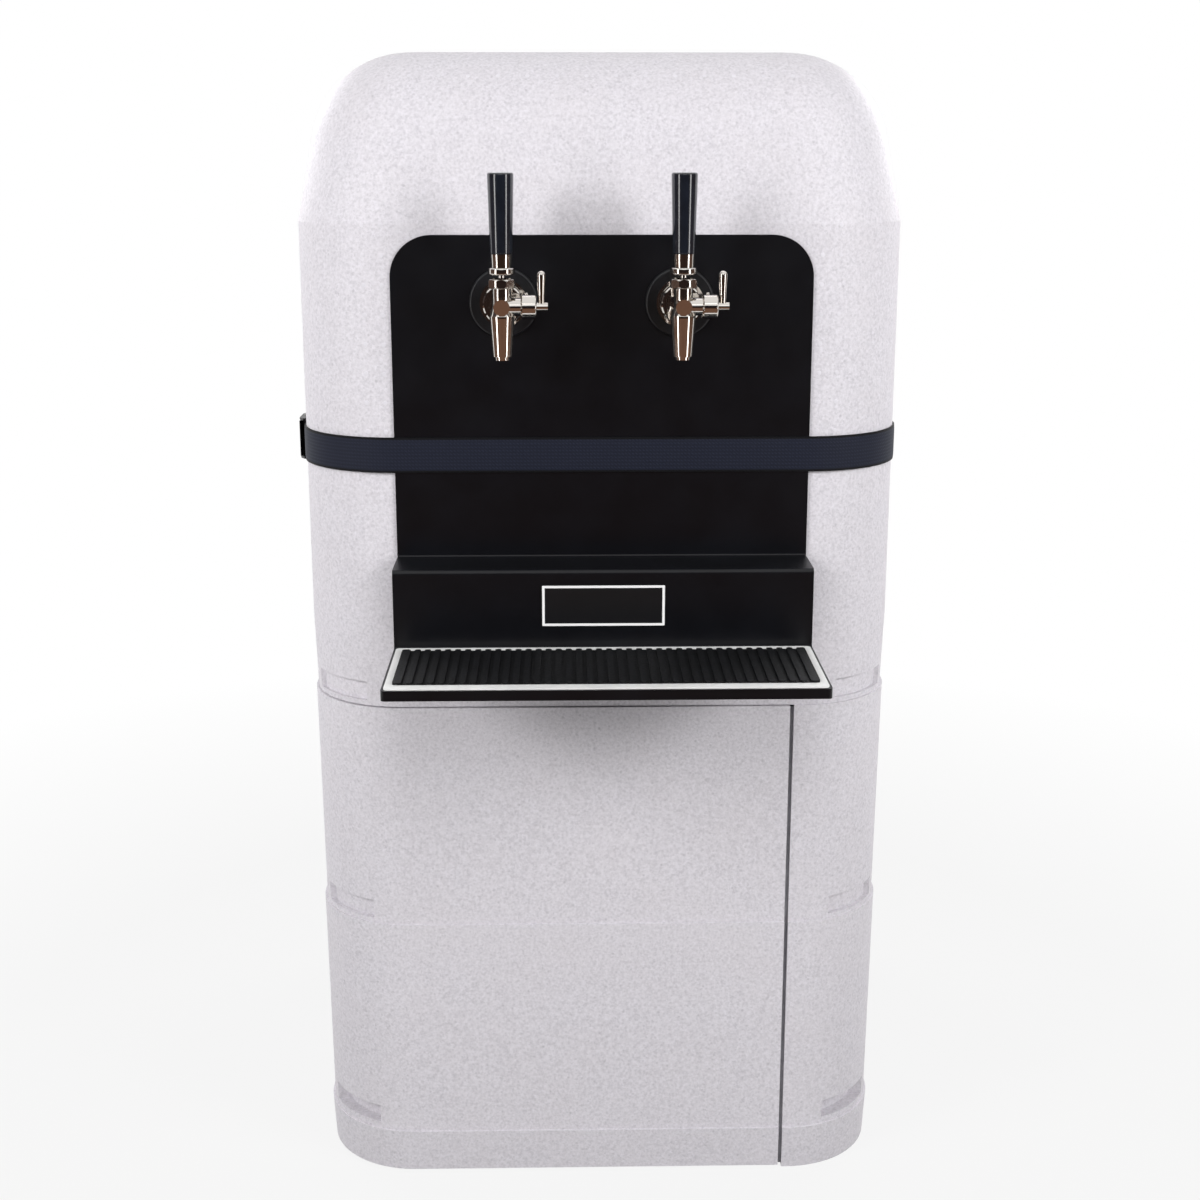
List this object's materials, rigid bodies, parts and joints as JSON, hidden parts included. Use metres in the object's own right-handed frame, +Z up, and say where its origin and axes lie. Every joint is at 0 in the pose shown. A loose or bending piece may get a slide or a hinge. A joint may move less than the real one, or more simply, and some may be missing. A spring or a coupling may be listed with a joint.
{
  "type": "jockey box beer cooler",
  "caption": "Tall moulded foam beer cooler cabinet with a font panel, drip tray, two flow-control taps, strap, hinged lower door, lift-out lid, ice tub and cold plate.",
  "frame": {"origin": "middle of the cabinet's 600 x 600 mm footprint, on the floor", "axes": "+Z up, the taps and the drip tray face -Y, +X to the right as seen from the front"},
  "size_m": [0.6112, 0.858, 1.165],
  "materials": {
    "foam_shell": "moulded bead foam, fine speckle",
    "seal_rubber": "matt",
    "hinge_steel": "satin",
    "shelf_board": "matt board",
    "tub_plastic": "moulded, satin",
    "cold_plate_metal": "as cast",
    "beer_line": "translucent hose",
    "fitting_steel": "turned",
    "drain_plastic": "moulded",
    "lever_plastic": "moulded",
    "black_sheet": "satin black coating",
    "badge_face": "satin",
    "white_sheet": "satin",
    "mat_rubber": "matt, ribbed",
    "webbing": "woven polyester",
    "buckle_black": "satin black",
    "tap_steel": "polished",
    "ferrule_steel": "polished",
    "handle_black": "glossy",
    "flange_black": "satin"
  },
  "bodies": {
    "root": {"base_moulding": "foam_shell", "lower_ring": "foam_shell", "upper_ring": "foam_shell", "hood": "foam_shell", "door_seal": "seal_rubber", "hinge_fixed_plates": "hinge_steel", "hinge_pins": "hinge_steel", "tub_shelf": "shelf_board", "ice_tub": "tub_plastic", "cold_plate": "cold_plate_metal", "outlet_lines": "beer_line", "inlet_lines": "beer_line", "inlet_fittings": "fitting_steel", "inlet_nuts": "fitting_steel", "drain_pipe": "drain_plastic", "drain_nut": "drain_plastic", "drain_cock_body": "fitting_steel", "font_panel": "black_sheet", "badge_plate": "badge_face", "mat_base": "white_sheet", "drip_mat": "mat_rubber", "strap_webbing": "webbing", "buckle_frame": "buckle_black", "buckle_pin": "fitting_steel", "coupling_nuts": "tap_steel", "shank_nuts": "fitting_steel", "tail_nuts": "fitting_steel", "tail_pieces": "fitting_steel", "tap_left_shank": "tap_steel", "tap_left_flange": "flange_black", "tap_left_faucet_body": "tap_steel", "tap_left_spout": "tap_steel", "tap_left_bonnet": "tap_steel", "tap_left_flow_housing": "tap_steel", "tap_right_shank": "tap_steel", "tap_right_flange": "flange_black", "tap_right_faucet_body": "tap_steel", "tap_right_spout": "tap_steel", "tap_right_bonnet": "tap_steel", "tap_right_flow_housing": "tap_steel"},
    "door": {"door_base": "foam_shell", "door_lower": "foam_shell", "door_upper": "foam_shell", "hinge_door_plates": "hinge_steel"},
    "lid": {"top_lid": "foam_shell"},
    "drain_lever": {"drain_cock_lever": "lever_plastic"},
    "buckle_lever": {"buckle_cam": "buckle_black"},
    "tap_left_handle_set": {"tap_left_lever": "tap_steel", "tap_left_ferrule": "ferrule_steel", "tap_left_handle": "handle_black"},
    "tap_left_shuttle_set": {"tap_left_shuttle": "fitting_steel", "tap_left_shuttle_seal": "seal_rubber"},
    "tap_left_flow_set": {"tap_left_flow_lever": "tap_steel"},
    "tap_right_handle_set": {"tap_right_lever": "tap_steel", "tap_right_ferrule": "ferrule_steel", "tap_right_handle": "handle_black"},
    "tap_right_shuttle_set": {"tap_right_shuttle": "fitting_steel", "tap_right_shuttle_seal": "seal_rubber"},
    "tap_right_flow_set": {"tap_right_flow_lever": "tap_steel"}
  },
  "joints": [
    {"name": "door_hinge", "type": "hinge", "parent": "root", "child": "door", "pos_m": [-0.3015, -0.1, 0.27], "axis": [0, 0, -1], "range_deg": [0, 110]},
    {"name": "lid_lift", "type": "slide", "parent": "root", "child": "lid", "axis": [0, 0, 1], "range_m": [0, 0.08]},
    {"name": "drain_cock", "type": "hinge", "parent": "root", "child": "drain_lever", "pos_m": [0, 0.327, 0.59], "axis": [0, 0, 1], "range_deg": [0, 90]},
    {"name": "buckle_release", "type": "hinge", "parent": "root", "child": "buckle_lever", "pos_m": [-0.3068, -0.165, 0.784], "axis": [0, 0, -1], "range_deg": [0, 50]},
    {"name": "tap_left_pull", "type": "hinge", "parent": "root", "child": "tap_left_handle_set", "pos_m": [-0.094, -0.354, 0.941], "axis": [1, 0, 0], "range_deg": [0, 22]},
    {"name": "tap_left_shuttle_slide", "type": "slide", "parent": "root", "child": "tap_left_shuttle_set", "axis": [0, 1, 0], "range_m": [0, 0.0039]},
    {"name": "tap_left_flow", "type": "hinge", "parent": "root", "child": "tap_left_flow_set", "pos_m": [-0.0574, -0.354, 0.931], "axis": [1, 0, 0], "range_deg": [-90, 90]},
    {"name": "tap_right_pull", "type": "hinge", "parent": "root", "child": "tap_right_handle_set", "pos_m": [0.074, -0.354, 0.941], "axis": [1, 0, 0], "range_deg": [0, 22]},
    {"name": "tap_right_shuttle_slide", "type": "slide", "parent": "root", "child": "tap_right_shuttle_set", "axis": [0, 1, 0], "range_m": [0, 0.0039]},
    {"name": "tap_right_flow", "type": "hinge", "parent": "root", "child": "tap_right_flow_set", "pos_m": [0.1106, -0.354, 0.931], "axis": [1, 0, 0], "range_deg": [-90, 90]}
  ],
  "couplings": [
    {"joint": "tap_left_shuttle_slide", "follows": "tap_left_pull", "m_per_rad": 0.01},
    {"joint": "tap_right_shuttle_slide", "follows": "tap_right_pull", "m_per_rad": 0.01}
  ]
}
